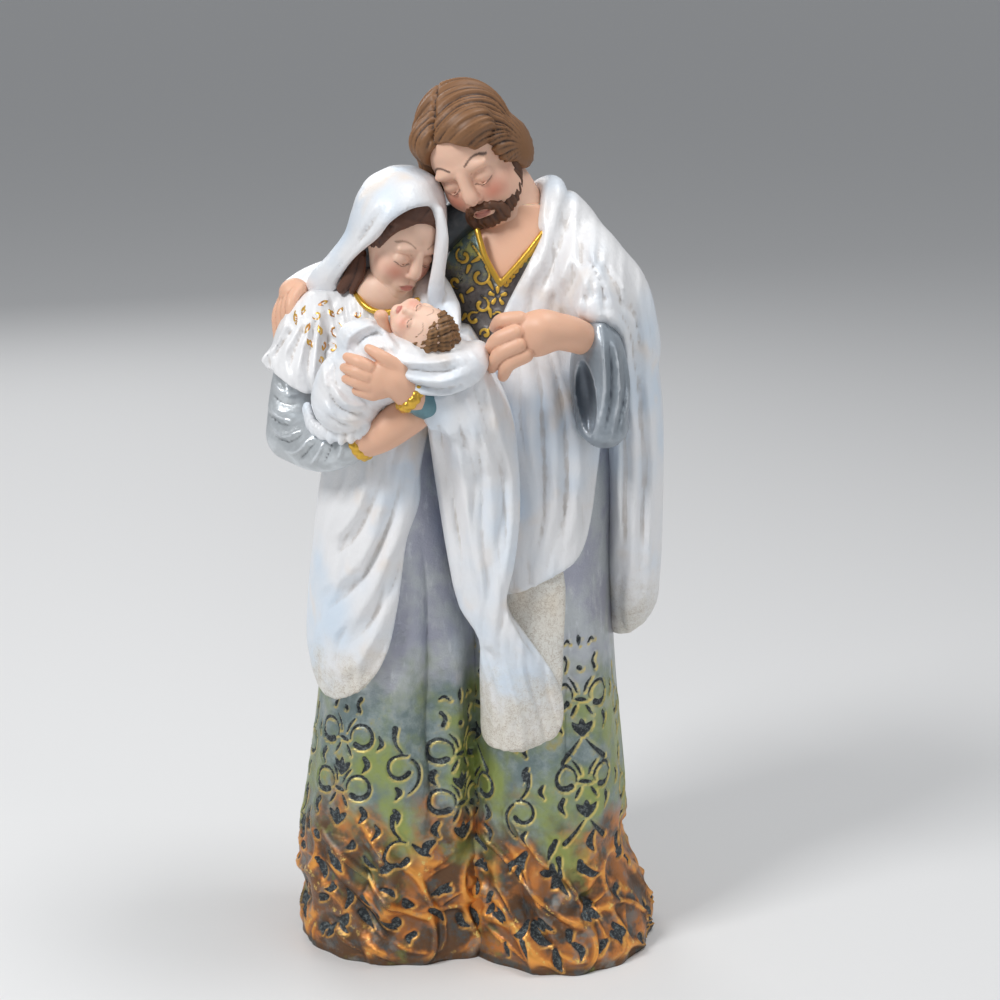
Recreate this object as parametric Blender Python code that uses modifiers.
"""A holy family group, cast in one piece of painted resin.

A mother in a long veil holds a swaddled child, and a bearded man in a cloak stands behind her shoulder, with one
arm round her back. Their gowns meet in one wide, flat foot. X runs to the man's side, -Y is the front, +Z is up,
and the origin is on the flat underside.

The pose is given in design millimetres, which are shares of the height: a group 254 mm tall has them as real ones.
"""

import math

import bmesh
import bpy
import numpy as np
from mathutils import Euler, Matrix, Vector

HEIGHT = 0.254  # floor to the top of the man's hair
DESIGN_HEIGHT = 254.0
U = HEIGHT / DESIGN_HEIGHT  # one design millimetre, in metres

CLOAK_RAISE = 0.0026  # how far the man's cloak stands off his gown
TRIM_RADIUS = 0.0008  # the rolled edge at both necklines
BRACELET_RADIUS = 0.0009  # half the thickness of the rings at the mother's wrists
PLEAT_DEPTH = 0.0011  # how deep the pleats of the gowns are at the hem
MOTHER_PLEATS = 15
FATHER_PLEATS = 14
FOOT_TRIM = 0.0012  # what is cut off below the rounded foot, to leave a flat underside
TRIANGLES = 9400  # the finished solid is thinned out to this

GRAIN = 0.62 * U  # the size of the cells that fuse the forms into one surface
MERGE = 0.01 * U  # corners closer than this are one
SIDES = 96  # corners of a lofted section
STEP = 1.6  # height between a loft's sections, in design millimetres
BACK_FOLD_RISE = 1.2  # of the folds down their backs
BLOB_DETAIL = 28  # corners round an ellipsoid
HAIR_DETAIL = 96  # and round one that has locks

NAME = "holy_family_statue"
RESIN = (0.72, 0.70, 0.68, 1.0)

# Each section is: height, centre x, centre y, half width, depth in front, depth behind.
MOTHER_GOWN = [
    (0, -22.0, 1, 30.6, 28.5, 29),
    (5, -22.4, 1, 31.2, 29.5, 29.5),
    (13, -22.4, 1, 29.6, 27.5, 28),
    (22, -22.8, 0, 30.6, 29.0, 27),
    (31, -23.0, 0, 30.2, 28.0, 26),
    (45, -22.5, 0, 28.2, 27.0, 24.5),
    (60, -22.0, 0, 26.3, 26.5, 23.5),
    (80, -21.3, 0, 24.4, 26.0, 22.5),
    (100, -21.2, 0, 22.8, 25.5, 21),
    (120, -22.0, 0, 20.5, 24.5, 20),
    (140, -22.5, -1, 19.5, 23.0, 19),
    (155, -23.0, -2, 19.0, 21.5, 17),
    (170, -25.0, -3, 20.5, 19.5, 15.5),
    (182, -26.5, -3, 21.5, 16.5, 14.5),
    (190, -27.0, -3, 19.5, 13.5, 13.5),
    (196, -25.5, -4, 12.5, 10.0, 10.5),
    (200, -24.0, -5, 7.0, 7.0, 8),
]
FATHER_GOWN = [
    (0, 25.0, 0, 28.6, 33.6, 29.5),
    (5, 25.2, 0, 29.4, 34.2, 30),
    (13, 23.8, 0, 28.4, 31.5, 28.5),
    (22, 21.8, 0, 26.8, 29.5, 27),
    (31, 20.4, 0, 25.0, 28.8, 25.5),
    (45, 20.4, 0, 24.4, 29.0, 24.5),
    (60, 20.2, 0, 23.3, 29.2, 23.5),
    (80, 20.0, 0, 21.6, 29.0, 22.5),
    (100, 19.8, 0, 20.5, 28.2, 21.5),
    (120, 20.0, 0, 19.6, 26.5, 20.5),
    (140, 19.5, 1, 20.5, 24.5, 19.5),
    (160, 18.5, 2, 21.5, 22.0, 18),
    (175, 17.5, 2, 22.5, 19.5, 17),
    (190, 16.5, 2, 24.5, 17.0, 16),
    (203, 15.5, 2, 24.5, 14.5, 14.5),
    (211, 14.8, 1.5, 19.5, 11.5, 12),
    (216, 14.0, 1, 12.5, 9.5, 10.5),
    (220, 12.8, 0.5, 8.6, 8.4, 9),
]
# The cloth of the mother's mantle, the end of her veil over her arm, and the long fall at the man's side.
MANTLE_CLOTH = [
    (78, -26.5, 0, 22.5, 29.5, 25),
    (90, -27.0, 0, 22.3, 30.5, 25.5),
    (105, -26.8, 0, 21.8, 31.0, 25.5),
    (120, -26.2, 0, 20.8, 30.5, 25),
    (135, -25.2, -1, 19.8, 29.0, 24.5),
    (150, -24.6, -2, 18.2, 27.5, 23.5),
    (166, -24.6, -2, 18.0, 24.5, 21.5),
]
VEIL_END_CLOTH = [
    (64, 13.5, -5, 15.0, 27.8, 8),
    (80, 13.0, -5, 15.5, 28.4, 8),
    (95, 11.0, -5, 17.0, 29.0, 9),
    (110, 8.0, -5, 19.0, 30.0, 10),
    (125, 6.0, -5, 19.0, 30.6, 10),
    (140, 4.0, -5, 18.0, 31.2, 10),
    (155, 1.5, -5, 17.0, 33.0, 10),
    (166, -1.0, -6, 16.5, 35.0, 10),
    (174, -2.0, -8, 15.5, 33.0, 10),
    (181, -1.5, -10, 12.0, 25.5, 8),
    (187, -2.0, -10, 8.0, 18.0, 8),
]
CLOAK_FALL = [
    (92, 43.5, 2, 2.6, 5.0, 8),
    (96, 44.5, 2, 4.4, 8.5, 11),
    (103, 46.2, 1, 7.2, 11.0, 14),
    (112, 46.3, 1, 8.1, 12.5, 16),
    (130, 46.4, 1, 8.4, 13.5, 17),
    (150, 45.8, 1, 8.9, 14.5, 17.5),
    (165, 44.4, 1, 9.6, 15.0, 17.5),
    (178, 42.0, 1, 10.0, 15.0, 17),
    (190, 38.4, 1, 10.8, 14.5, 16),
    (202, 33.0, 1.5, 11.6, 13.0, 14.5),
    (211, 28.0, 1.5, 9.6, 11.0, 12.5),
    (218, 25.6, 1, 7.4, 8.5, 9.5),
    (222.5, 24.4, 1, 4.2, 5.5, 6),
]
VEIL = [
    (86, -25.0, 10, 18.0, 4, 15.5),
    (95, -25.0, 10, 19.0, 4, 16.0),
    (110, -25.2, 10, 19.0, 4, 15.5),
    (135, -26.0, 9, 19.0, 4, 14.5),
    (160, -27.0, 7, 19.0, 5, 13.5),
    (178, -27.5, 5, 20.0, 6, 13.5),
    (190, -28.0, 2, 20.0, 8, 14.0),
    (199, -27.3, -2, 18.8, 12, 15.5),
    (206, -24.0, -5, 16.0, 16, 17.0),
    (212, -21.4, -7, 14.1, 19, 17.5),
    (218, -20.2, -8, 13.2, 20, 16.5),
    (224, -19.6, -8, 11.4, 17.5, 13.5),
    (228, -19.3, -8, 8.2, 12.5, 9.5),
    (230.4, -19.2, -8, 3.4, 5, 4.5),
]
CAPELET = [
    (170, -46.6, -9, 11.0, 16.5, 11),
    (176, -46.8, -9, 10.8, 15.5, 11),
    (181, -46.4, -8, 9.8, 13.5, 10.5),
    (187, -45.0, -7, 9.0, 11.0, 9.5),
    (192, -43.0, -6, 7.6, 8.5, 8),
    (196, -39.4, -5, 6.0, 6.0, 6),
]
SLEEVE_DROP = [
    (155.4, 36.4, -23.0, 3.4, 5.2, 5),
    (157.6, 36.2, -22.5, 5.8, 8.6, 8),
    (164, 35.6, -22.0, 7.4, 9.8, 9),
    (174, 34.9, -21.5, 8.2, 10.8, 9),
    (181, 34.6, -20.5, 7.3, 11.6, 9),
    (186, 34.8, -20.0, 5.4, 11.6, 8.5),
    (190.2, 34.2, -19.5, 2.6, 10.0, 7),
]
SLEEVE_FOLDS = [
    (1.0, 0.7, [(41.8, 187), (43.2, 172), (40.6, 160)]),
    (1.0, 0.7, [(38.4, 189), (40.0, 173), (37.6, 158.5)]),
    (0.9, -0.7, [(40.2, 188), (41.6, 172), (39.2, 159.5)]),
    (0.9, -0.8, [(36.6, 189), (37.8, 173), (35.6, 159)]),
    (1.1, 0.8, [(34.6, 190), (35.8, 173), (33.2, 158.6)]),
]
SLEEVE_MOUTH = ((26.6, -28.6, 172.5), (5.6, 8.0, 14.5))

# Outlines, seen from the front, as (x, z): smooth curves that the cloth is kept inside.
MANTLE_OUTLINE = [
    (-60, 170), (-60, 100), (-50, 94), (-45, 83.4), (-39, 81.4), (-29.6, 87.6), (-23.6, 98.4), (-20.6, 113),
    (-18.3, 129), (-14.8, 139), (-14.5, 148), (-15.2, 170),
]
MANTLE_BACK_OUTLINE = [(-60, 170), (-60, 99), (-50, 93), (-40, 89), (-30, 89), (-20, 130), (-16, 170)]
VEIL_END_OUTLINE = [
    (-13, 178), (-12, 160), (-10, 143), (-7, 124), (-4, 110.5), (1.6, 101.5), (1.8, 90), (2, 79), (2.6, 69.6),
    (8, 68.4), (15, 70), (22, 76), (24.2, 82), (21.4, 90), (13.3, 102.4), (9.3, 113), (11.7, 125), (13.1, 141.6),
    (11.5, 162), (6, 175.5), (-0.3, 186.2), (-4, 190), (-13, 190),
]
UNDER_TAIL_OUTLINE = [(8, 114), (16, 120), (25.3, 120), (25.4, 96), (25, 86), (22.5, 80), (12, 90)]
CLOAK_OUTLINE = [
    (9.3, 113), (20, 117.6), (29.7, 123.7), (33.2, 134.3), (35.3, 149), (38, 164), (50, 172), (50, 226), (21, 228),
    (21.2, 217), (15.8, 205), (8.4, 190.5), (4.9, 176.3), (3, 160), (4, 118),
]
CLOAK_BACK_OUTLINE = [(-8, 228), (48, 228), (48, 98), (38, 92), (24, 90), (8, 96), (-4, 104), (-8, 112)]
FACE_OPENING = [
    (-9.6, 215.5), (-10.6, 219), (-13, 220.8), (-18, 219.6), (-24.1, 213.6), (-32, 206), (-37.6, 196.6),
    (-38, 186), (-17, 186), (-14.5, 196), (-11.5, 204), (-9.2, 210.5),
]
FACE_OPENING_DEPTHS = (-60, -9)
CAPELET_OUTLINE = [(-62, 205), (-62, 184), (-58.6, 177.1), (-47.3, 173), (-37, 172.5), (-34, 205)]
FRONT = -60  # outlines for the front of a cloth are cut from here
BACK = 60  # and those for its back end here

# Folds pressed into the cloth from the front: width, rise (or dip) and the line, as (x, z).
MANTLE_FOLDS = [
    (2.6, 1.3, [(-27.4, 153), (-30.3, 141), (-36, 132.6), (-43, 127.4)]),
    (2.8, 1.5, [(-21.9, 154), (-25.4, 137), (-32.5, 122.8), (-41.8, 115), (-47, 112)]),
    (3.0, 1.5, [(-17, 154), (-19.3, 136), (-26.1, 118.8), (-35.5, 105.8), (-45, 99.9)]),
    (3.2, 1.2, [(-19.4, 126.9), (-22.3, 114.5), (-28.1, 101.4), (-35.8, 92), (-44, 92)]),
    (3.0, -1.0, [(-24.5, 150), (-28, 139), (-34, 128), (-43, 121)]),
    (3.0, -1.2, [(-19.5, 150), (-22.4, 137), (-29.3, 120.8), (-38.5, 110), (-46, 106)]),
]
VEIL_END_FOLDS = [
    (2.0, 0.9, [(-10.6, 172), (-9.7, 151), (-7.1, 134.5), (-5.6, 117)]),
    (2.0, 1.1, [(-4.5, 173), (-2.7, 151), (0, 131.7), (3.5, 114.6), (7.6, 103)]),
    (2.4, 1.4, [(4.4, 173), (9.8, 156.6), (10.9, 137), (7.6, 117), (5.9, 99.8)]),
    (1.9, 0.9, [(-0.4, 173), (3.8, 159.6), (5.4, 143), (4.3, 126)]),
    (4.0, -1.3, [(-6.6, 158), (-5, 140), (-2, 122)]),
    (2.4, -0.9, [(1.4, 165), (2.4, 148), (3.0, 130)]),
    (3.0, -0.9, [(2.5, 100), (6, 96.5), (8, 92)]),
    (2.4, 0.9, [(9.5, 113), (12.2, 103), (17, 95), (22.5, 87)]),
]
CLOAK_FOLDS = [
    (1.7, 1.0, [(24.2, 221.9), (19.9, 208), (13.6, 195)]),
    (1.7, 1.0, [(28.6, 219.1), (25.7, 205), (19.9, 193.7)]),
    (1.8, 1.1, [(34.2, 214.7), (31.2, 202.5), (27.3, 191.8)]),
    (1.4, -0.8, [(26.5, 217), (22.6, 205), (17, 194)]),
    (1.4, -0.8, [(31.6, 214), (28.4, 203), (23.6, 192)]),
    (2.0, 1.1, [(15.2, 176), (15.8, 155.5), (17.5, 135.7), (14.2, 120)]),
    (2.0, 1.3, [(20.5, 180), (22.9, 155.5), (22.2, 135.7), (18.1, 121.4)]),
    (2.2, 1.2, [(25.5, 175), (28.9, 155), (28.3, 135.4), (24.2, 124)]),
    (1.8, -1.0, [(18.2, 178), (19.6, 155), (19.6, 136), (16, 121)]),
    (1.8, -1.0, [(23, 177), (26, 155), (25.4, 136), (21, 122)]),
]
FALL_FOLDS = [
    (1.8, 1.0, [(44, 196), (48.1, 179.5), (50.6, 150.9), (50, 118.5), (49.3, 104)]),
    (1.8, 1.0, [(40, 194), (44.4, 166), (45.5, 137), (44.7, 116.4), (45.4, 107)]),
    (1.6, 0.8, [(38.5, 166), (41.0, 150), (41.6, 131.4), (40.1, 113)]),
    (1.6, -0.9, [(42.6, 190), (46.6, 165), (48, 138), (47.4, 108)]),
    (1.6, -0.8, [(41.6, 170), (43.3, 140), (42.4, 112)]),
    (1.6, 0.9, [(36.6, 211), (34.4, 203), (33.8, 194)]),
]
MOTHER_GOWN_FOLDS = [
    (3.0, -1.5, [(-14.5, 128.6), (-12.4, 112.7), (-12, 89), (-12.8, 71), (-11.8, 53), (-15.4, 34)]),
    (3.6, 1.4, [(-18.8, 113), (-20.5, 83), (-22, 53), (-25.4, 38)]),
    (3.0, 1.3, [(-6.3, 113), (-5.1, 83), (-6.1, 53), (-5.4, 28)]),
    (4.0, 1.6, [(-46, 42), (-40, 31.6), (-31.4, 22.2), (-22.8, 14.3), (-14, 4.8)]),
    (3.2, 1.6, [(-37, 42.4), (-29.7, 37.8), (-24.1, 28.4), (-25.7, 15.9), (-27.3, 4.8)]),
    (3.6, -1.8, [(-44, 30), (-36, 20), (-28, 12), (-20, 2)]),
    (3.0, -1.6, [(-33, 32), (-31, 26), (-34, 21)]),
]
FATHER_GOWN_FOLDS = [
    (3.4, 1.2, [(32.8, 112), (34.8, 82), (35.7, 57.6), (33.6, 36)]),
    (3.2, -1.2, [(28.4, 113), (27.3, 83), (27, 60), (24, 40)]),
    (3.4, 1.7, [(3, 35.6), (7.6, 26.3), (13.4, 13.7), (20.7, 1)]),
    (3.2, 1.8, [(24.7, 41.7), (17.6, 29.4), (20.6, 16.9), (29.3, 4.2)]),
    (3.0, 1.6, [(39.3, 36.9), (32.2, 24.4), (25, 19.7), (33.8, 11.8), (42.5, 8.6)]),
    (3.4, -1.9, [(12, 28), (15, 16), (24, 6)]),
    (3.0, -1.7, [(28, 30), (27, 25), (36, 18), (46, 12)]),
]
VEIL_FOLDS = [
    (1.6, 0.8, [(-25, 224), (-31, 213), (-37.6, 204), (-42, 197)]),
    (1.5, 0.7, [(-21, 221), (-27, 213.5), (-33, 207), (-39, 198)]),
    (1.5, -0.7, [(-23, 222.5), (-29, 213), (-35.5, 205), (-40.5, 197.5)]),
]
CAPELET_FOLDS = [
    (1.8, 1.0, [(-43, 194), (-45, 185), (-44.5, 174)]),
    (1.8, 0.9, [(-46, 193), (-51, 184), (-53, 176)]),
    (1.6, -0.9, [(-44.5, 192), (-48, 184), (-48.5, 175)]),
]

# Folds that hang down the backs: from x, to x, from height, to height, how many.
VEIL_BACK_FOLDS = (-42, -8, 200, 86, 5)
CLOAK_BACK_FOLDS = (-4, 40, 208, 94, 6)

# Limbs and rolls of cloth: the line through the middle, and its radius at each point.
MOTHER_LIMBS = [
    ([(-45, -6, 186), (-49.8, -9, 168), (-50.6, -13.8, 156.2)], [7.8, 7.4, 7.6]),
    ([(-50.4, -14, 156.2), (-41, -26, 155.4), (-31, -35.2, 158.0)], [7.6, 7.0, 4.6]),
    ([(-31, -35.2, 158.0), (-23, -38.5, 162.5), (-16, -37, 168)], [4.2, 5.0, 4.6]),
    ([(2, -28, 166), (-9, -40, 169), (-16.6, -44.5, 173.4)], [6.5, 4.8, 3.6]),
    ([(-24, -6, 194), (-22, -8.4, 203)], [6.4, 5.6]),
    ([(-30, -12, 206), (-33.5, -12.6, 201.5), (-36.4, -12, 197.4)], [2.4, 3.0, 1.8]),
    ([(-20, -47.4, 182), (-23.4, -48.4, 184.6), (-27.0, -47.6, 186.4)], [2.0, 1.8, 1.4]),
]
VEIL_ON_SHOULDER = ([(-12, -8, 197), (-8, -16, 190), (-1, -25, 180), (2, -28, 174)], [5, 5, 6, 7])
FATHER_LIMBS = [
    ([(-4, 6, 204), (-24, 17, 196), (-42, 11, 193), (-50, 1, 194)], [9.5, 9.6, 8.4, 4.6]),
    ([(44, -4, 172), (40, -14, 178), (34, -24, 183.5)], [9, 8, 5.6]),
    ([(36, -15, 181), (27.4, -30.5, 187.4), (19, -36, 190)], [4.6, 4.8, 5.0]),
    ([(13.5, 0, 212), (9.5, -1, 222)], [8.6, 7.8]),
]
CLOAK_OVER_ARM = ([(31, -4, 204), (33, -12, 199), (34.5, -19, 195)], [9, 8, 5.4])
CLOAK_COLLAR = ([(20.5, -8, 214), (22.5, -3, 222), (21, 5, 223), (14, 9, 218)], [2.6, 3.2, 3.2, 3])
SWADDLING = [
    ([(-4, -35, 180), (-12, -38, 180.5), (-22, -38, 180), (-31, -36, 176), (-34, -36, 171)], [7, 7.6, 9, 9.4, 8.6]),
    ([(1.6, -30, 183), (-0.6, -38, 179), (-9, -44.4, 178), (-20, -44.4, 181.6), (-28, -41, 187)],
     [3.2, 4.4, 4.0, 3.2, 3.2]),
    ([(-22.4, -37.5, 190), (-23.6, -39, 193.6)], [1.8, 1.7]),
]
MOTHER_NECKLINE = [(-33, -11, 197), (-30, -16.4, 193.6), (-26.4, -18.4, 191.8), (-21.7, -19, 191.9), (-15, -19, 195)]
FATHER_NECKLINES = [
    [(20, -9.4, 213), (14, -12.2, 205.6), (7.6, -15.6, 199)],
    [(1.4, -10.6, 213), (3.6, -13.4, 206), (7.6, -15.6, 199)],
]
BRACELETS = [((-29.8, -36.2, 158.4), 62, 4.9), ((-16.4, -44.4, 173.2), 48, 3.9)]  # centre, lean, reach

# Blobs: centre, radii and lean to the side.
MOTHER_PALMS = [((-22, -47.2, 178.2), (6.6, 3.2, 5.0), -32), ((-19.5, -37.5, 165.6), (6.6, 4.0, 4.6), -34)]
FATHER_PALMS = [((17.4, -35.4, 188.6), (8.2, 4.4, 6.4), -18), ((-50.2, -2.0, 194.6), (5.0, 5.0, 4.4), 0)]
BUNDLE_LUMPS = [((-28.6, -36, 187.2), (7.4, 6.6, 5.6), 0), ((-33.4, -37.4, 170.4), (9.0, 8.0, 8.4), 0)]
FATHER_COLLAR = ((-5.4, 2.6, 216), (7.6, 6.0, 8.6), 0)

# Fingers: root, tip, how far the knuckle stands out between them, and the radii at root, knuckle and tip.
MOTHER_FINGERS = [
    ((-24.5, -48.6, 182.2), (-33.0, -46.0, 184.4)),
    ((-25.6, -49.0, 179.6), (-34.0, -46.4, 181.4)),
    ((-25.4, -48.8, 176.8), (-33.4, -46.6, 178.4)),
    ((-24.4, -47.8, 174.4), (-31.4, -46.0, 175.6)),
]
MOTHER_KNUCKLE = (0, -1.0, 0.3)
MOTHER_FINGER_RADII = [1.75, 1.6, 1.3]
FATHER_FINGERS = [
    ((12.8, -36.0, 192.6), (6.4, -30.0, 190.4)),
    ((11.6, -38.2, 189.6), (4.6, -32.0, 183.4)),
    ((12.6, -38.6, 186.4), (5.4, -33.4, 179.4)),
    ((14.6, -37.8, 183.6), (8.4, -34.0, 177.2)),
]
FATHER_KNUCKLE = (-1.4, -1.6, 0.8)
FATHER_FINGER_RADII = [2.2, 2.05, 1.7]
# The man's other hand, over the mother's shoulder: its fingers step down side by side.
SHOULDER_FINGER = ((-47.4, -4.4, 196.6), (-48.6, -11.6, 188.0))
SHOULDER_FINGER_STEPS = ((-2.1, 0.9, -1.1), (-2.0, 1.9, -2.2))
SHOULDER_KNUCKLE = (-1.2, -1.6, 1.4)
SHOULDER_FINGER_RADII = [2.0, 1.9, 1.6]

# Crescent folds of the swaddling: the first one's line, the step to the next, and the radii.
BAND_FOLD = [(-16, -47.4, 182.6), (-7, -48.2, 179.6), (1.6, -40.5, 182.6)]
BAND_FOLD_STEPS = [(1, 0, -2.7), (0, 0.5, -2.7), (-2, 0, -2.7)]
LEG_FOLD = [(-40, -40, 177), (-36, -45.4, 170), (-27, -44, 165.6)]
LEG_FOLD_STEPS = [(1.6, 0, -4.4), (2, 0, -2.6), (1, 0, 0)]
FOLD_COUNT = 3
FOLD_RADII = [0.9, 1.3, 0.9]

# Heads: where the middle of the skull is, and how tall it is. Two are turned by angles: turn, nod and lean.
MOTHER_HEAD = ((-20.2, -12.6, 211.4), 29.8)
MOTHER_FACING = (38, 24, 9)
FATHER_HEAD = ((0.4, -4.2, 232.8), 35.5)
FATHER_FACING = (-22, 22, -22)
CHILD_HEAD = ((-13.0, -38.0, 190.2), 18.8)
CHILD_CROWN = (0.83, -0.40, -0.22)
CHILD_FACE = (-0.5, -0.5, 0.7)
SKULL_HEIGHT = 30.0  # the forms of a head are given on a skull of this height, face to -Y

# Forms of every head: centre and radii.
SKULL = [
    ((0, 1.5, 3.5), (10.3, 12.3, 11.5)),
    ((0, -3.4, -4.2), (7.7, 8.4, 10.3)),
    ((0, -9.0, -12.0), (3.2, 2.8, 2.6)),
    ((4.4, -7.6, -4.4), (3.2, 2.6, 3.2)),
    ((-4.4, -7.6, -4.4), (3.2, 2.6, 3.2)),
    ((0, -9.6, 2.6), (6.2, 2.0, 1.6)),
    ((3.7, -9.1, -0.7), (2.3, 2.0, 1.7)),
    ((-3.7, -9.1, -0.7), (2.3, 2.0, 1.7)),
    ((0, -11.2, -1.6), (1.2, 1.6, 3.6)),
    ((0, -12.6, -4.4), (1.6, 2.0, 1.7)),
    ((1.5, -11.8, -5.1), (1.0, 1.2, 0.9)),
    ((-1.5, -11.8, -5.1), (1.0, 1.2, 0.9)),
    ((0, -11.0, -7.9), (2.5, 1.2, 0.8)),
    ((0, -10.7, -9.4), (2.1, 1.3, 0.9)),
]
CHILD_SKULL = [
    ((0, 2.0, 2.5), (11.6, 12.8, 11.8)),
    ((0, -3.4, -5.2), (8.8, 8.2, 8.6)),
    ((0, -8.2, -11.4), (3.0, 2.6, 2.2)),
    ((4.6, -7.4, -6.0), (4.0, 3.2, 3.6)),
    ((-4.6, -7.4, -6.0), (4.0, 3.2, 3.6)),
    ((3.8, -9.2, -2.4), (2.4, 1.8, 1.5)),
    ((-3.8, -9.2, -2.4), (2.4, 1.8, 1.5)),
    ((0, -11.4, -5.4), (1.6, 1.8, 1.6)),
    ((0, -10.8, -8.6), (2.2, 1.2, 1.1)),
    ((10.6, 1.0, -3.0), (1.6, 2.4, 3.0)),
    ((-10.6, 1.0, -3.0), (1.6, 2.4, 3.0)),
]
FATHER_HAIR = [
    ((-0.6, 3.8, 5.2), (12.1, 12.2, 12.25)),
    ((-5.2, -4.8, 8.6), (5.6, 5.4, 5.8)),
    ((4.4, -5.4, 8.8), (7.8, 5.6, 5.4)),
    ((10.4, -1.0, 2.2), (3.0, 5.6, 5.8)),
    ((10.8, 4.0, -2.6), (3.2, 6.2, 6.6)),
    ((-10.2, -0.8, 1.0), (2.8, 5.2, 6.8)),
    ((-10.2, 5.0, -2.6), (3.2, 6.2, 6.8)),
    ((0, 9.6, -4.0), (9.8, 6.6, 9.6)),
]
FATHER_BEARD = [
    ((0, -6.0, -10.0), (6.8, 5.8, 4.8)),
    ((0, -9.0, -13.0), (4.0, 3.4, 3.2)),
    ((6.4, -3.0, -6.4), (2.4, 4.2, 5.4)),
    ((-6.4, -3.0, -6.4), (2.4, 4.2, 5.4)),
]
MOTHER_HAIR = [
    ((0, 2.4, 5.2), (11.0, 12.4, 11.2)),
    ((4.2, -5.6, 9.2), (4.8, 3.4, 3.0)),
    ((-4.2, -5.6, 9.2), (4.8, 3.4, 3.0)),
    ((-9.0, -1.0, -1.0), (2.4, 4.4, 7.0)),
]
CHILD_HAIR = [
    ((0, 3.4, 4.6), (12.2, 12.4, 11.4)),
    ((0, -4.4, 8.6), (8.0, 3.8, 3.6)),
]
# Locks: how many run round the head, how deep the furrows are on a skull of the height above, and where they start.
FATHER_LOCKS = (17, 0.75, (0.97, 0.16, -0.30))
CHILD_LOCKS = (16, 0.8, (0.1, 0.75, 0.65))
BEARD_LOCKS = (22, 0.35, (0.0, -0.2, 1.0))


def at(x, y, z):
    """A point given in design millimetres, in metres."""
    return Vector((x, y, z)) * U


def new_object(name, bm):
    """An object of a bmesh, which it uses up."""
    bmesh.ops.recalc_face_normals(bm, faces=bm.faces[:])
    mesh = bpy.data.meshes.new(name)
    bm.to_mesh(mesh)
    bm.free()
    obj = bpy.data.objects.new(name, mesh)
    bpy.context.scene.collection.objects.link(obj)
    return obj


def baked(obj):
    """The object with its modifiers applied, or a curve as a mesh."""
    bpy.context.view_layer.update()
    graph = bpy.context.evaluated_depsgraph_get()
    mesh = bpy.data.meshes.new_from_object(obj.evaluated_get(graph))
    mesh.transform(obj.matrix_world)
    name = obj.name
    bpy.data.objects.remove(obj)
    made = bpy.data.objects.new(name, mesh)
    bpy.context.scene.collection.objects.link(made)
    return made


def smooth_rows(table, step):
    """The table's rows at every step of its first column, on a smooth curve through the given rows."""
    rows = np.array(table, float)
    height = rows[:, 0]
    slope = np.gradient(rows, height, axis=0)
    count = max(2, math.ceil((height[-1] - height[0]) / step))
    made = []
    for h in np.linspace(height[0], height[-1], count + 1):
        i = min(len(rows) - 2, max(0, np.searchsorted(height, h, side="right") - 1))
        span = height[i + 1] - height[i]
        t = (h - height[i]) / span
        made.append(
            (2 * t**3 - 3 * t**2 + 1) * rows[i]
            + (t**3 - 2 * t**2 + t) * span * slope[i]
            + (3 * t**2 - 2 * t**3) * rows[i + 1]
            + (t**3 - t**2) * span * slope[i + 1]
        )
    return made


def loft(name, sections, pleats=0):
    """A closed solid through level oval sections, with pleats that deepen towards the foot."""
    bm = bmesh.new()
    rings = []
    for z, cx, cy, width, front, behind in smooth_rows(sections, STEP):
        ring = []
        for k in range(SIDES):
            angle = 2 * math.pi * k / SIDES
            depth = front if math.sin(angle) < 0 else behind
            fade = max(0.0, 1 - z / 150) * (0.35 if math.sin(angle) < 0 else 1.0)
            swell = PLEAT_DEPTH / U * fade * math.cos(pleats * angle + 0.6) if pleats else 0.0
            ring.append(bm.verts.new(at(
                cx + (width + swell) * math.cos(angle),
                cy + (depth + swell) * math.sin(angle),
                z,
            )))
        rings.append(ring)
    for low, high in zip(rings, rings[1:]):
        for k in range(SIDES):
            after = (k + 1) % SIDES
            bm.faces.new((low[k], low[after], high[after], high[k]))
    bm.faces.new(rings[0])
    bm.faces.new(rings[-1])
    return new_object(name, bm)


def blob(name, centre, radii, turn=None, detail=BLOB_DETAIL):
    """An ellipsoid, in design millimetres, turned by a matrix."""
    bm = bmesh.new()
    bmesh.ops.create_uvsphere(bm, u_segments=detail, v_segments=detail // 2, radius=1)
    place = Matrix.Translation(at(*centre)) @ (turn.to_4x4() if turn else Matrix.Identity(4))
    bm.transform(place @ Matrix.Diagonal((*at(*radii), 1)))
    return new_object(name, bm)


def limb(name, points, radii):
    """A round tube along a smooth line, with a ball at each end."""
    curve = bpy.data.curves.new(name, "CURVE")
    curve.dimensions = "3D"
    curve.bevel_depth = U
    curve.bevel_resolution = 4
    curve.resolution_u = 6
    curve.use_fill_caps = True
    spline = curve.splines.new("NURBS")
    spline.points.add(len(points) - 1)
    for point, place, radius in zip(spline.points, points, radii):
        point.co = (*at(*place), 1)
        point.radius = radius
    spline.use_endpoint_u = True
    spline.order_u = min(3, len(points))
    tube = bpy.data.objects.new(name, curve)
    bpy.context.scene.collection.objects.link(tube)
    tube = baked(tube)
    bm = bmesh.new()
    bm.from_mesh(tube.data)
    bmesh.ops.remove_doubles(bm, verts=bm.verts[:], dist=MERGE)
    bpy.data.objects.remove(tube)
    tube = new_object(name, bm)
    ends = [blob(name, points[k], (radii[k],) * 3) for k in (0, -1)]
    return [tube, *ends]


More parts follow.
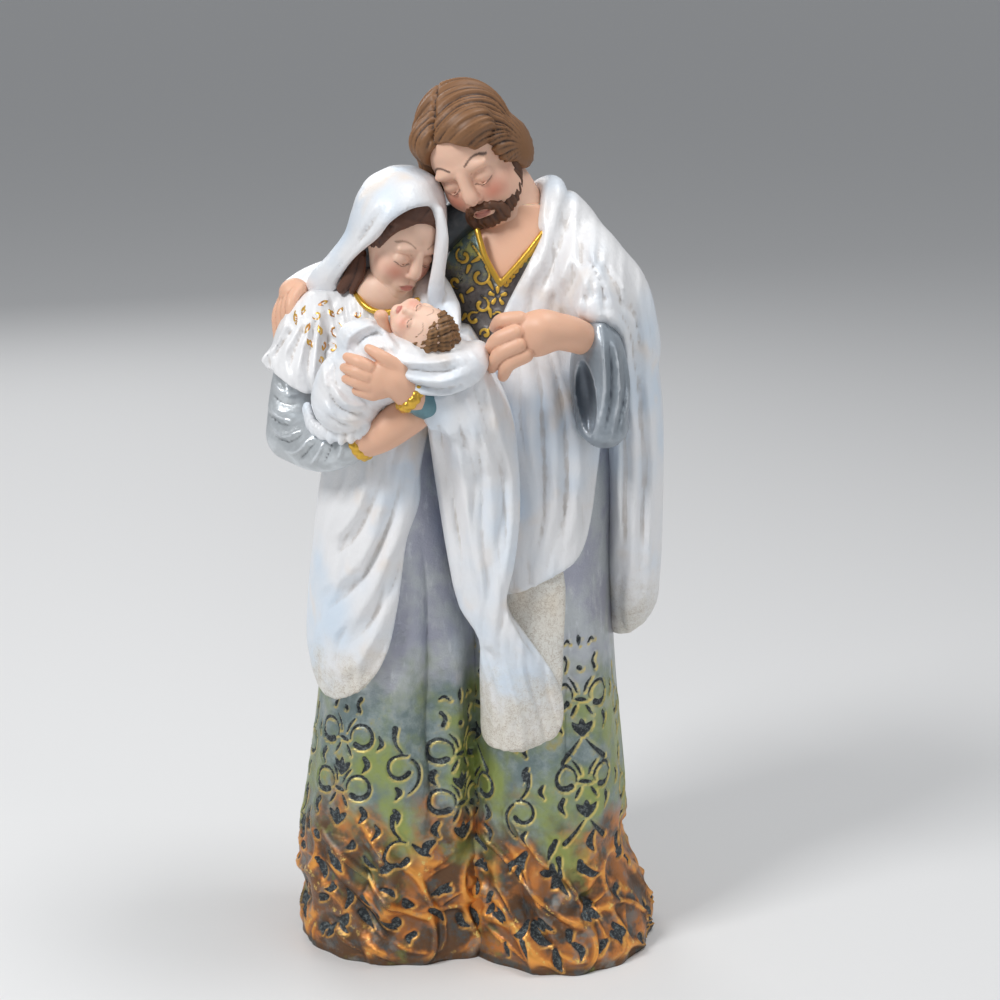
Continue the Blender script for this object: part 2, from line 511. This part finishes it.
def hanging_folds(left, right, top, foot, count):
    """Folds that hang side by side and draw together a little at the top: a ridge, with a furrow beside it."""
    middle = (left + right) / 2
    pitch = (right - left) / count
    folds = []
    for k in range(count):
        x = left + (k + 0.5) * pitch
        sway = 0.12 * pitch * math.sin(2.4 * k)
        for offset, rise in ((0.0, BACK_FOLD_RISE), (pitch / 2, -0.7 * BACK_FOLD_RISE)):
            line = [
                (middle + 0.72 * (x + offset - middle), top - 2.5 * (k % 2)),
                (middle + 0.9 * (x + offset - middle) + sway, (top + foot) / 2),
                (x + offset - sway, foot),
            ]
            folds.append((0.3 * pitch, rise, line))
    return folds


def press(obj, folds, side=-1):
    """Raises or sinks a form along each fold's line, by a rounded profile that dies out at both ends.

    It works on the front of the form, or with side 1 on its back.
    """
    mesh = obj.data
    count = len(mesh.vertices)
    place = np.empty(count * 3)
    mesh.vertices.foreach_get("co", place)
    place = place.reshape(-1, 3) / U
    facing = np.empty(count * 3)
    mesh.vertices.foreach_get("normal", facing)
    facing = facing.reshape(-1, 3)
    toward = np.clip(side * facing[:, 1] * 1.6, 0, 1)
    rise = np.zeros(count)
    for width, height, line in folds:
        line = np.array(line, float)
        lengths = np.hypot(*np.diff(line, axis=0).T)
        run = np.concatenate([[0], np.cumsum(lengths)])
        nearest = np.full(count, 1e9)
        along = np.zeros(count)
        for k in range(len(lengths)):
            step = line[k + 1] - line[k]
            offset = place[:, [0, 2]] - line[k]
            share = np.clip(offset @ step / (step @ step), 0, 1)
            distance = np.hypot(*(offset - share[:, None] * step).T)
            closer = distance < nearest
            nearest[closer] = distance[closer]
            along[closer] = (run[k] + share * lengths[k])[closer]
        taper = np.clip(np.minimum(along, run[-1] - along) / (0.3 * run[-1]), 0.15, 1)
        rise += height * taper * np.exp(-((nearest / width) ** 2))
    place += facing * (rise * toward)[:, None]
    mesh.vertices.foreach_set("co", (place * U).ravel())
    mesh.update()


def cutter(name, outline, front, behind):
    """A prism of a smooth outline given as (x, z), from depth front to depth behind."""
    curve = bpy.data.curves.new(name, "CURVE")
    curve.dimensions = "2D"
    curve.fill_mode = "BOTH"
    curve.extrude = (behind - front) / 2 * U
    curve.resolution_u = 5
    spline = curve.splines.new("BEZIER")
    spline.bezier_points.add(len(outline) - 1)
    for point, (x, z) in zip(spline.bezier_points, outline):
        point.co = (x * U, z * U, 0)
        point.handle_left_type = "AUTO"
        point.handle_right_type = "AUTO"
    spline.use_cyclic_u = True
    prism = bpy.data.objects.new(name, curve)
    bpy.context.scene.collection.objects.link(prism)
    prism.rotation_euler = (math.radians(90), 0, 0)
    prism.location = at(0, (front + behind) / 2, 0)
    prism = baked(prism)
    bm = bmesh.new()
    bm.from_mesh(prism.data)
    bmesh.ops.remove_doubles(bm, verts=bm.verts[:], dist=MERGE)
    bpy.data.objects.remove(prism)
    return new_object(name, bm)


def boolean(obj, other, operation):
    """The object cut or trimmed by another, which is removed."""
    modifier = obj.modifiers.new("shape", "BOOLEAN")
    modifier.operation = operation
    modifier.object = other
    made = baked(obj)
    bpy.data.objects.remove(other)
    return made


def trimmed(obj, outline, front, behind):
    """What lies of a form inside an outline, between two depths."""
    return boolean(obj, cutter("outline", outline, front, behind), "INTERSECT")


def swollen(obj, raise_by):
    """A copy of a form with its surface moved outwards."""
    copy = bpy.data.objects.new(obj.name, obj.data.copy())
    bpy.context.scene.collection.objects.link(copy)
    modifier = copy.modifiers.new("swell", "DISPLACE")
    modifier.strength = raise_by
    modifier.mid_level = 0.0
    return baked(copy)


def facing(turn, nod, lean):
    """The turn of a head, from its angles in degrees: to its left, downwards, and over to one side."""
    return (
        Euler((0, math.radians(lean), 0)).to_matrix()
        @ Euler((0, 0, math.radians(turn))).to_matrix()
        @ Euler((math.radians(nod), 0, 0)).to_matrix()
    )


def facing_along(crown, face):
    """The turn of a head whose crown and face point the given ways."""
    up = Vector(crown).normalized()
    back = -(Vector(face) - up * Vector(face).dot(up)).normalized()
    return Matrix((back.cross(up), back, up)).transposed()


def head(name, head_place, turn, forms, locks=None):
    """The forms of a head or its hair, as ellipsoids in its own frame, with locks furrowed into them."""
    centre, height = head_place
    scale = height / SKULL_HEIGHT
    made = []
    for place, radii in forms:
        world = Vector(centre) + turn @ (Vector(place) * scale)
        made.append(blob(name, world, Vector(radii) * scale, turn, HAIR_DETAIL if locks else BLOB_DETAIL))
        if locks:
            count, depth, start = locks
            furrow(made[-1], Vector(centre), turn @ Vector(start), count, depth * scale)
    return made


def furrow(obj, centre, start, count, depth):
    """Locks of hair that run from one point of the head over all of it, as waves across their run."""
    axis = start.normalized()
    side = axis.orthogonal().normalized()
    other = axis.cross(side)
    normals = [vertex.normal.copy() for vertex in obj.data.vertices]
    for vertex, normal in zip(obj.data.vertices, normals):
        ray = vertex.co / U - centre
        height = ray.normalized().dot(axis)
        angle = math.atan2(ray.dot(other), ray.dot(side)) + 0.35 * height
        wave = math.cos(count * angle) * min(1.0, 1.6 * (1 - height * height))
        vertex.co += normal * (wave * depth * U)
    obj.data.update()


def shifted(point, step, times):
    """A point moved by a step, a number of times."""
    return tuple(p + s * times for p, s in zip(point, step))


def limbs(name, table):
    """A tube for each line of a table."""
    return [piece for points, radii in table for piece in limb(name, points, radii)]


def lumps(name, table):
    """An ellipsoid for each line of a table, leaning to the side."""
    return [
        blob(name, centre, radii, Euler((0, math.radians(lean), 0)).to_matrix())
        for centre, radii, lean in table
    ]


def fingers(table, knuckle, radii):
    """Bent fingers, each from its root over the knuckle to its tip."""
    made = []
    for root, tip in table:
        middle = tuple((a + b) / 2 + k for a, b, k in zip(root, tip, knuckle))
        made += limb("finger", [root, middle, tip], radii)
    return made


def repeated_folds(name, line, steps):
    """Rounded folds, each a little further along than the one before."""
    made = []
    for k in range(FOLD_COUNT):
        points = [shifted(point, step, k) for point, step in zip(line, steps)]
        made += limb(name, points, FOLD_RADII)
    return made


def gowns():
    mother = loft("mother_gown", MOTHER_GOWN, pleats=MOTHER_PLEATS)
    press(mother, MOTHER_GOWN_FOLDS)
    father = loft("father_gown", FATHER_GOWN, pleats=FATHER_PLEATS)
    press(father, FATHER_GOWN_FOLDS)
    return mother, father


def mother_cloth():
    """Her mantle, round her hips to the back, and her veil down her back and over her left arm."""
    front = loft("mantle", MANTLE_CLOTH)
    press(front, MANTLE_FOLDS)
    veil_end = loft("veil_end", VEIL_END_CLOTH)
    press(veil_end, VEIL_END_FOLDS)
    veil = loft("veil", VEIL)
    press(veil, VEIL_FOLDS)
    press(veil, hanging_folds(*VEIL_BACK_FOLDS), side=1)
    capelet = loft("capelet", CAPELET)
    press(capelet, CAPELET_FOLDS)
    return [
        trimmed(front, MANTLE_OUTLINE, FRONT, 1),
        trimmed(loft("mantle_back", MANTLE_CLOTH), MANTLE_BACK_OUTLINE, 0, BACK),
        trimmed(veil_end, VEIL_END_OUTLINE, FRONT, 0),
        boolean(veil, cutter("opening", FACE_OPENING, *FACE_OPENING_DEPTHS), "DIFFERENCE"),
        trimmed(capelet, CAPELET_OUTLINE, FRONT, BACK),
        *limb("veil_on_shoulder", *VEIL_ON_SHOULDER),
    ]


def father_cloth(gown):
    """His cloak over one shoulder, its long fall at his side, and the wide sleeve that comes out of it."""
    cloak = swollen(gown, CLOAK_RAISE)
    press(cloak, CLOAK_FOLDS)
    back = swollen(gown, CLOAK_RAISE)
    press(back, hanging_folds(*CLOAK_BACK_FOLDS), side=1)
    under_tail = swollen(gown, CLOAK_RAISE / 2)
    fall = loft("cloak_fall", CLOAK_FALL)
    press(fall, FALL_FOLDS)
    sleeve = loft("sleeve", SLEEVE_DROP)
    press(sleeve, SLEEVE_FOLDS)
    return [
        trimmed(cloak, CLOAK_OUTLINE, FRONT, 1),
        trimmed(back, CLOAK_BACK_OUTLINE, 0, BACK),
        trimmed(under_tail, UNDER_TAIL_OUTLINE, FRONT, 1),
        fall,
        boolean(sleeve, blob("mouth", *SLEEVE_MOUTH), "DIFFERENCE"),
        *limb("cloak_collar", *CLOAK_COLLAR),
        *limb("cloak_over_arm", *CLOAK_OVER_ARM),
    ]


def hands():
    on_shoulder = [
        tuple(shifted(point, step, k) for point, step in zip(SHOULDER_FINGER, SHOULDER_FINGER_STEPS))
        for k in range(4)
    ]
    return [
        *lumps("palm", [*MOTHER_PALMS, *FATHER_PALMS]),
        *fingers(MOTHER_FINGERS, MOTHER_KNUCKLE, MOTHER_FINGER_RADII),
        *fingers(FATHER_FINGERS, FATHER_KNUCKLE, FATHER_FINGER_RADII),
        *fingers(on_shoulder, SHOULDER_KNUCKLE, SHOULDER_FINGER_RADII),
    ]


def child():
    """The child's head and swaddling bands, across the mother's breast."""
    turn = facing_along(CHILD_CROWN, CHILD_FACE)
    return [
        *head("child_head", CHILD_HEAD, turn, CHILD_SKULL),
        *head("child_hair", CHILD_HEAD, turn, CHILD_HAIR, CHILD_LOCKS),
        *limbs("swaddling", SWADDLING),
        *lumps("bundle", BUNDLE_LUMPS),
        *repeated_folds("band_fold", BAND_FOLD, BAND_FOLD_STEPS),
        *repeated_folds("leg_fold", LEG_FOLD, LEG_FOLD_STEPS),
    ]


def trims():
    """The rolled necklines, and the bracelets."""
    made = []
    for line in (MOTHER_NECKLINE, *FATHER_NECKLINES):
        made += limb("neckline", line, [TRIM_RADIUS / U] * len(line))
    for centre, lean, reach in BRACELETS:
        bpy.ops.mesh.primitive_torus_add(
            location=at(*centre), rotation=(0, math.radians(lean), 0),
            major_radius=reach * U, minor_radius=BRACELET_RADIUS,
        )
        made.append(baked(bpy.context.object))
    return made


def heads():
    mother_turn = facing(*MOTHER_FACING)
    father_turn = facing(*FATHER_FACING)
    return [
        *head("mother_head", MOTHER_HEAD, mother_turn, SKULL),
        *head("mother_hair", MOTHER_HEAD, mother_turn, MOTHER_HAIR),
        *head("father_head", FATHER_HEAD, father_turn, SKULL),
        *head("father_hair", FATHER_HEAD, father_turn, FATHER_HAIR, FATHER_LOCKS),
        *head("father_beard", FATHER_HEAD, father_turn, FATHER_BEARD, BEARD_LOCKS),
        *lumps("father_collar", [FATHER_COLLAR]),
    ]


def fused(name, forms):
    """One closed surface round all the forms, softened, thinned out and cut flat below."""
    joined = bmesh.new()
    for obj in forms:
        joined.from_mesh(obj.data)
        bpy.data.objects.remove(obj)
    made = new_object(name, joined)
    remesh = made.modifiers.new("fuse", "REMESH")
    remesh.mode = "VOXEL"
    remesh.voxel_size = GRAIN
    made = baked(made)
    soften = made.modifiers.new("soften", "SMOOTH")
    soften.factor = 0.5
    soften.iterations = 2
    thin = made.modifiers.new("thin", "DECIMATE")
    thin.ratio = TRIANGLES / (2 * len(made.data.polygons))
    made = baked(made)
    bm = bmesh.new()
    bm.from_mesh(made.data)
    bpy.data.objects.remove(made)
    cut = bmesh.ops.bisect_plane(
        bm, geom=[*bm.verts, *bm.edges, *bm.faces],
        plane_co=(0, 0, FOOT_TRIM), plane_no=(0, 0, -1), clear_outer=True, dist=MERGE,
    )
    rim = [e for e in cut["geom_cut"] if isinstance(e, bmesh.types.BMEdge)]
    bmesh.ops.holes_fill(bm, edges=rim, sides=0)
    bmesh.ops.translate(bm, verts=bm.verts[:], vec=(0, 0, -FOOT_TRIM))
    bmesh.ops.triangulate(bm, faces=bm.faces[:])
    return new_object(name, bm)


def painted_resin():
    material = bpy.data.materials.new("painted_resin")
    material.use_nodes = True
    shader = material.node_tree.nodes["Principled BSDF"]
    shader.inputs["Base Color"].default_value = RESIN
    shader.inputs["Roughness"].default_value = 0.45
    shader.inputs["Metallic"].default_value = 0.0
    return material


def main():
    for obj in list(bpy.data.objects):
        bpy.data.objects.remove(obj)
    group = bpy.data.collections.new("holy_family")
    bpy.context.scene.collection.children.link(group)
    mother_gown, father_gown = gowns()
    statue = fused(NAME, [
        mother_gown, *mother_cloth(), *limbs("mother_limb", MOTHER_LIMBS),
        father_gown, *father_cloth(father_gown), *limbs("father_limb", FATHER_LIMBS),
        *heads(), *hands(), *child(), *trims(),
    ])
    bpy.context.scene.collection.objects.unlink(statue)
    group.objects.link(statue)
    statue.data.materials.append(painted_resin())
    statue.data.shade_smooth()


main()
